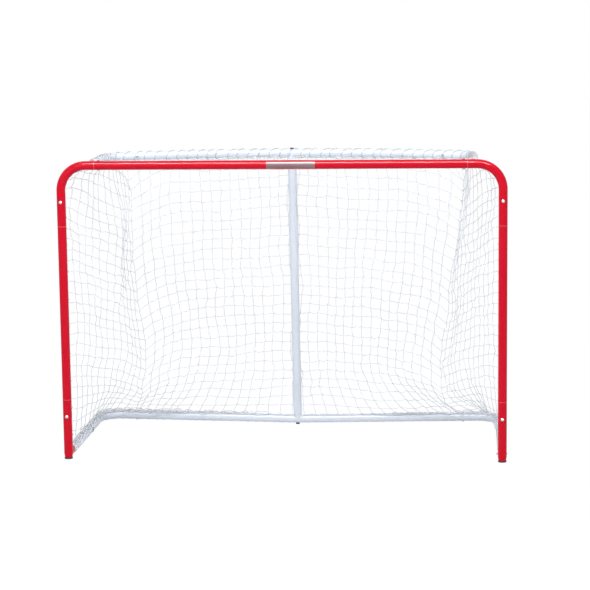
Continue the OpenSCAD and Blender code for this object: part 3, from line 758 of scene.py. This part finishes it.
class GOAL_OT_frame_coat(bpy.types.Operator):
    """Coats the front frame red, and the shelf, the base and the brace white"""

    bl_idname = "goal.frame_coat"
    bl_label = "Coat Frame"

    def execute(self, context):
        look = context.scene.goal_coat
        red = coat("Red Powder Coat", look.red, (0.56, 0.02, 0.04), 0.17, look.peel,
                   marks=0.10, specular=0.13, seam_highlights=True)
        white = coat("White Powder Coat", look.white, (0.56, 0.60, 0.66), 0.32, look.peel,
                     marks=0.16, specular=0.3)
        for node in RED_NODES:
            paint(node, red)
        for node in WHITE_NODES:
            paint(node, white)
        return {"FINISHED"}


class GOAL_OT_fasteners(bpy.types.Operator):
    """Finishes the bolts, nuts, inserts, hooks and foot caps"""

    bl_idname = "goal.fasteners"
    bl_label = "Finish Fasteners"

    def execute(self, context):
        look = context.scene.goal_coat
        zinc = coat("Zinc Plate", look.zinc, (0.45, 0.44, 0.42), 0.27, 0.00004,
                    marks=0.35, peel_scale=900.0, metallic=1.0)
        dark = coat("Blackened Steel", (0.035, 0.033, 0.03), (0.16, 0.13, 0.11), 0.42,
                    0.00005, marks=0.4, peel_scale=700.0, metallic=0.8)
        red = coat("Coated Bolts", look.red, (0.45, 0.10, 0.10), 0.3, 0.00008, marks=0.4)
        hook = coat("White Moulding", (0.80, 0.81, 0.83), (0.66, 0.66, 0.66), 0.36, 0.00006,
                    marks=0.15, peel_scale=500.0)
        rubber = coat("Black Rubber", (0.018, 0.018, 0.019), (0.09, 0.088, 0.085), 0.62,
                      0.00018, marks=0.5, peel_scale=420.0)
        for node in ZINC_NODES:
            paint(node, zinc)
        for node in ("centre_top_bolt", "centre_foot_bolt"):
            paint(node, dark)
        paint("crossbar_bolts", red)
        for node in ("hooks_left", "hooks_right", "hooks_top"):
            paint(node, hook)
        for node in ("foot_cap_left", "foot_cap_right"):
            paint(node, rubber)
        return {"FINISHED"}


class GOAL_OT_label(bpy.types.Operator):
    """Finishes the blank film label on the crossbar"""

    bl_idname = "goal.label"
    bl_label = "Finish Label"

    def execute(self, context):
        look = context.scene.goal_coat
        paint("label", coat("Label Film", look.label, (0.45, 0.42, 0.43), 0.38, 0.00003,
                            marks=0.25, peel_scale=120.0))
        return {"FINISHED"}


class GOAL_OT_netting(bpy.types.Operator):
    """Hangs the sides and the back of the net, and makes its twines and knots"""

    bl_idname = "goal.netting"
    bl_label = "Hang Net"

    def execute(self, context):
        net = context.scene.goal_net
        rng = np.random.default_rng(SEED + 1)
        knots, top, low = hung_net(net)
        rows, columns = knots.shape[0] - 1, knots.shape[1] - 1
        side = net.side_columns
        middle = columns // 2
        twine = cord_finish("Net Twine", net.colour, 0.009, 2.0, 0.0003)
        bands = (("netting_left", 0, side - 2, "net_left"),
                 ("netting_left_fold", side - 2, side + 2, "net_corner_left"),
                 ("netting_back_left", side + 2, middle, "net_back_left"),
                 ("netting_back_right", middle, columns - side - 2, "net_back_right"),
                 ("netting_right_fold", columns - side - 2, columns - side + 2,
                  "net_corner_right"),
                 ("netting_right", columns - side + 2, columns, "net_right"))
        for name, first, last, node in bands:
            lines, marked = [], set()
            for i in range(rows + 1):
                for j in range(first, last + (last == columns)):
                    marked.add((i, j))
                    if i < rows:
                        lines.append(((i, j), (i + 1, j), drooped(
                            knots[i, j], knots[i + 1, j], net.mesh, rng)))
                for j in range(first, last):
                    lines.append(((i, j), (i, j + 1), drooped(
                        knots[i, j], knots[i, j + 1], net.mesh, rng)))
            for j in range(first, last + (last == columns)):
                for i, anchors in ((0, top), (rows, low)):
                    reach = np.linalg.norm(anchors[j] - knots[i, j])
                    if reach > 0.004 and 0 < j < columns:
                        lines.append(((i, j), ("tie", i, j), drooped(
                            knots[i, j], anchors[j], reach * 1.02, rng)))
            piece = baked(name, strands(lines, marked), cord_tree("Netting", True), {
                "Cord Radius": net.twine, "Sides": 5, "Knot Radius": net.knot,
                "Knot Seed": SEED, "Material": twine})
            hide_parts(node)
        self.roof(context, twine, rng)
        return {"FINISHED"}

    def roof(self, context, twine, rng):
        """The flat top of the net, which sags a little between the crossbar and the shelf."""
        net = context.scene.goal_net
        shelf = Route(shelf_axis())
        back = net.back_columns
        rear = shelf.around(np.linspace(SHELF_FOLD, shelf.total - SHELF_FOLD, back + 1),
                            math.radians(-120), TUBE_R + NET_SEAT)
        depth, unevenness = SHELF_DEPTH - 0.02, 0.0012
        rise = SHELF_DEPTH * math.tan(SHELF_TILT) + ROOF_RISE
        rows = int(depth / net.mesh)
        front_y = FRONT_Y + ROPE_OUT * math.cos(ROPE_ANGLE)
        front_z = BAR_Z - ROPE_OUT * math.sin(ROPE_ANGLE)
        half = SHELF_X - TUBE_R - 0.004

        def surface(x, y):
            t = (y - front_y) / depth
            sag = ROOF_SAG * 4 * t * (1 - t) * max(0.0, 1 - (x / half) ** 2)
            return np.array((x, y, front_z + t * rise - sag)) \
                + unevenness * rng.standard_normal(3)

        grid, lines, marked = {}, [], set()
        for j in range(back + 1):
            count = int((rear[j][1] - front_y - 0.012) / net.mesh)
            grid[(0, j)] = np.array((rear[j][0], front_y, front_z))
            for k in range(1, count + 1):
                grid[(k, j)] = surface(rear[j][0], front_y + k * net.mesh)
            grid[("rear", j)] = rear[j]
            keys = [(k, j) for k in range(count + 1)] + [("rear", j)]
            for a, b in zip(keys[:-1], keys[1:]):
                gap = np.linalg.norm(grid[b] - grid[a])
                lines.append((a, b, drooped(grid[a], grid[b], gap * 1.015, rng)))
        for k in range(1, rows + 1):
            inside = [j for j in range(back + 1) if (k, j) in grid]
            for a, b in zip(inside[:-1], inside[1:]):
                if b == a + 1:
                    lines.append(((k, a), (k, b), drooped(
                        grid[(k, a)], grid[(k, b)], net.mesh * 1.02, rng)))
            y = front_y + k * net.mesh
            for j, way in ((inside[0], -1), (inside[-1], 1)) if inside else ():
                rim = np.array((way * half, y, front_z + (y - front_y) / depth * rise))
                if y < FRONT_Y + RIM_REACH:
                    middle = (grid[(k, j)] + rim) / 2
                    lines.append(((k, j), ("rim", k, way), drooped(
                        grid[(k, j)], middle, 0.0, rng)))
                    lines.append((("rim", k, way), ("end", k, way), drooped(
                        middle, rim, 0.0, rng)))
                    marked.add(("rim", k, way))
        marked.update(grid)
        piece = baked("netting_top", strands(lines, marked), cord_tree("Netting", True), {
            "Cord Radius": net.twine, "Sides": 5, "Knot Radius": net.knot,
            "Knot Seed": SEED + 2, "Material": twine})
        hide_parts("net_top")


class GOAL_OT_lacing(bpy.types.Operator):
    """Winds the lacing cords round the shelf and the base, and lays the edge ropes"""

    bl_idname = "goal.lacing"
    bl_label = "Lace Net"

    def execute(self, context):
        net, lacing = context.scene.goal_net, context.scene.goal_lacing
        rng = np.random.default_rng(SEED + 5)
        cord = cord_finish("Lacing Cord", lacing.colour, 0.012, 3.0, 0.0004)
        tree = cord_tree("Lacing", False)
        shelf, base = Route(shelf_axis()), Route(base_axis())
        pitch = (shelf.total - 2 * SHELF_FOLD) / net.back_columns
        # the cord round the shelf is a darker copy of the same lacing cord, a painted shade
        shaded = cord_finish("Shelf Cord", [0.62 * c for c in lacing.colour], 0.012, 3.0,
                             0.0004)
        self.wind("shelf_lacing_cord", "shelf_lacing", [
            self.helix(shelf, STUB + 0.02, shelf.total - STUB - 0.02, pitch, rng,
                       lacing.cord)], tree, lacing.cord, shaded)
        self.wind("base_lacing_turns", "base_lacing", [
            self.helix(base, STUB + 0.01, base.total - STUB - 0.01, lacing.base_pitch, rng,
                       lacing.turn)], tree, lacing.turn, cord)
        wraps = [self.hem(base, start, end, order, rng)
                 for start, end, count in HEMS for order in range(count)]
        wraps += [self.hem(base, start, end, order, rng, FRINGE_LIFT)
                  for start, end, order in FRINGE]
        self.wind("base_lacing_cord", "base_lacing", wraps, tree, lacing.cord, cord)
        tie = cord_finish("Black Tie", (0.03, 0.03, 0.035), 0.02, 1.0, 0.0001)
        tie_radius, points = 0.0011, 16
        self.wind("base_tie", "base_lacing", [
            base.around(np.full(points, TIE_AT) + np.linspace(0, 0.012, points),
                        np.radians(np.linspace(-62, -150, points)), TUBE_R + 0.0016)],
            tree, tie_radius, tie)
        rope = cord_finish("Edge Rope", lacing.colour, 0.02, 3.0, 0.0009)
        edge = front_edge()
        marks = np.arange(0.03, edge.total, 0.01)
        left = edge.at(marks)
        top_y = FRONT_Y + ROPE_OUT * math.cos(ROPE_ANGLE)
        top_z = BAR_Z - ROPE_OUT * math.sin(ROPE_ANGLE)
        top = [(x, top_y, top_z) for x in np.arange(-ROPE_END, ROPE_END + 0.0001, 0.02)]
        self.wind("edge_rope", "edge_ropes", [left, left * (-1, 1, 1), np.array(top)],
                  tree, lacing.rope, rope)
        return {"FINISHED"}

    def helix(self, route, start, end, pitch, rng, radius):
        """Points of a cord wound round a tube, with turns that aren't quite even."""
        turns, per_turn = int((end - start) / pitch), 14
        step = np.arange(turns * per_turn + 1) / float(per_turn)
        drift = np.interp(step, np.arange(turns + 1), 0.12 * rng.standard_normal(turns + 1))
        lean = 0.34 * np.sin(step * math.tau)
        distance = start + (step + drift + lean) * pitch
        return route.around(np.clip(distance, start, end), step * math.tau,
                            TUBE_R + radius + HAIR)

    def hem(self, route, start, end, order, rng, lift=0.0045):
        """Points of a gathered strand that wanders along the top of a tube."""
        start, end = (route.total + s if s < 0 else s for s in (start, end))
        spacing, seat = 0.011, 0.0022
        count = int((end - start) / spacing)
        distance = np.linspace(start, end, count) + 0.004 * rng.standard_normal(count)
        angle = math.radians(-30 + 16 * order) + 0.28 * rng.standard_normal(count)
        return route.around(distance, angle, TUBE_R + seat + lift * rng.random(count))

    def wind(self, name, node, paths, tree, radius, material):
        """Makes cords along these paths into one piece that stands for a node."""
        lines = [(("start", k), ("end", k), list(path)) for k, path in enumerate(paths)]
        piece = baked(name, strands(lines, set()), tree, {
            "Cord Radius": radius, "Sides": 6, "Material": material})
        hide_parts(node)


class GOAL_OT_stage(bpy.types.Operator):
    """Sets up the floor, the backdrop, the lamps and the camera"""

    bl_idname = "goal.stage"
    bl_label = "Set Stage"

    def execute(self, context):
        stage = context.scene.goal_stage
        scene = context.scene
        scene.view_settings.view_transform = "Standard"
        self.floor(scene)
        self.world(scene)
        self.lamp(scene, "overhead_lamp", (0.3, FRONT_Y - 2.2, 4.2), (37, 0, 0), (4.2, 0.9),
                  stage.lamp)
        strip = self.lamp(scene, "highlight_lamp", (0.3, FRONT_Y - 2.2, 4.1), (37, 0, 0),
                          (4.2, 0.7), stage.strip)
        strip.visible_diffuse = False  # it shows only as the highlight on glossy tubes
        front_share = 0.35
        self.lamp(scene, "front_lamp", (-1.6, FRONT_Y - 5.0, 2.3), (72, 0, -16),
                  (2.6, 2.6), stage.lamp * front_share)
        camera = bpy.data.objects.new("camera", bpy.data.cameras.new("camera"))
        camera.data.lens = stage.lens
        camera.data.sensor_width = 36
        camera.data.clip_end = 60
        pitch, roll, yaw = stage.turn
        look = Matrix.Rotation(yaw, 4, "Z") @ Matrix.Rotation(math.pi / 2 + pitch, 4, "X") \
            @ Matrix.Rotation(roll, 4, "Z")
        x, y, z = stage.eye
        camera.matrix_world = Matrix.Translation((x, FRONT_Y + y, z)) @ look
        scene.collection.objects.link(camera)
        scene.camera = camera
        return {"FINISHED"}

    def seen(self, t):
        """1 where the camera sees a surface, also in a reflection, and 0 for its light."""
        rays = t.add("ShaderNodeLightPath").outputs
        seen = t.math("MAXIMUM", rays["Is Camera Ray"], rays["Is Glossy Ray"])
        return t.math("MAXIMUM", seen, rays["Is Transmission Ray"])

    def floor(self, scene):
        """A wide pale floor that looks white without lighting the goal more."""
        mesh = bpy.data.meshes.new("floor")
        reach = 30.0
        mesh.from_pydata([(-reach, -reach, 0), (reach, -reach, 0), (reach, reach, 0),
                          (-reach, reach, 0)], [], [(0, 1, 2, 3)])
        floor = bpy.data.objects.new("floor", mesh)
        scene.collection.objects.link(floor)
        material = bpy.data.materials.new("Studio Floor")
        t = emptied(material)
        paper = t.add("ShaderNodeBsdfDiffuse", {"Color": (0.8, 0.8, 0.8, 1)})
        glow = t.add("ShaderNodeEmission", {"Color": (1, 1, 1, 1), "Strength": 1.04})
        share = t.add("ShaderNodeMixShader", {
            "Fac": t.math("MULTIPLY", self.seen(t), 0.93), 1: paper.outputs[0],
            2: glow.outputs[0]})
        t.put(t.add("ShaderNodeOutputMaterial").inputs["Surface"], share.outputs[0])
        mesh.materials.append(material)

    def world(self, scene):
        """Soft light from all round, and a white backdrop."""
        world = bpy.data.worlds.new("Studio")
        scene.world = world
        t = emptied(world)
        soft = t.add("ShaderNodeBackground", {"Color": (0.95, 0.97, 1, 1), "Strength": 0.58})
        white = t.add("ShaderNodeBackground", {"Color": (1, 1, 1, 1), "Strength": 1.0})
        both = t.add("ShaderNodeMixShader", {
            "Fac": self.seen(t), 1: soft.outputs[0], 2: white.outputs[0]})
        t.put(t.add("ShaderNodeOutputWorld").inputs["Surface"], both.outputs[0])

    def lamp(self, scene, name, place, tilt, size, power):
        """A rectangular lamp, tilted by angles in degrees."""
        light = bpy.data.lights.new(name, "AREA")
        light.energy = power
        light.shape = "RECTANGLE"
        light.size, light.size_y = size
        light.color = (1.0, 1.0, 1.0)
        lamp = bpy.data.objects.new(name, light)
        lamp.location = place
        lamp.rotation_euler = Euler([math.radians(angle) for angle in tilt])
        scene.collection.objects.link(lamp)
        return lamp


class GOAL_PT_sidebar(bpy.types.Panel):
    """Lists the goal's settings and its operators"""

    bl_label = "Street Hockey Goal"
    bl_idname = "GOAL_PT_sidebar"
    bl_space_type = "VIEW_3D"
    bl_region_type = "UI"
    bl_category = "Goal"

    def draw(self, context):
        for operator, settings in STEPS:
            box = self.layout.box()
            box.operator(operator.bl_idname)
            group_of = getattr(context.scene, settings)
            for name in group_of.bl_rna.properties.keys():
                if name not in ("rna_type", "name"):
                    box.prop(group_of, name)


STEPS = ((GOAL_OT_frame_coat, "goal_coat"), (GOAL_OT_fasteners, "goal_coat"),
         (GOAL_OT_label, "goal_coat"), (GOAL_OT_netting, "goal_net"),
         (GOAL_OT_lacing, "goal_lacing"), (GOAL_OT_stage, "goal_stage"))
SETTINGS = {"goal_coat": GoalCoatSettings, "goal_net": GoalNetSettings,
            "goal_lacing": GoalLacingSettings, "goal_stage": GoalStageSettings}
CLASSES = (*SETTINGS.values(), *(step[0] for step in STEPS), GOAL_PT_sidebar)


def register():
    for made in CLASSES:
        bpy.utils.register_class(made)
    for name, settings in SETTINGS.items():
        setattr(bpy.types.Scene, name, PointerProperty(type=settings))


def unregister():
    for name in SETTINGS:
        delattr(bpy.types.Scene, name)
    for made in reversed(CLASSES):
        bpy.utils.unregister_class(made)


def main():
    register()
    for operator, _ in STEPS:
        space, name = operator.bl_idname.split(".")
        getattr(getattr(bpy.ops, space), name)()


if __name__ == "__main__":
    main()
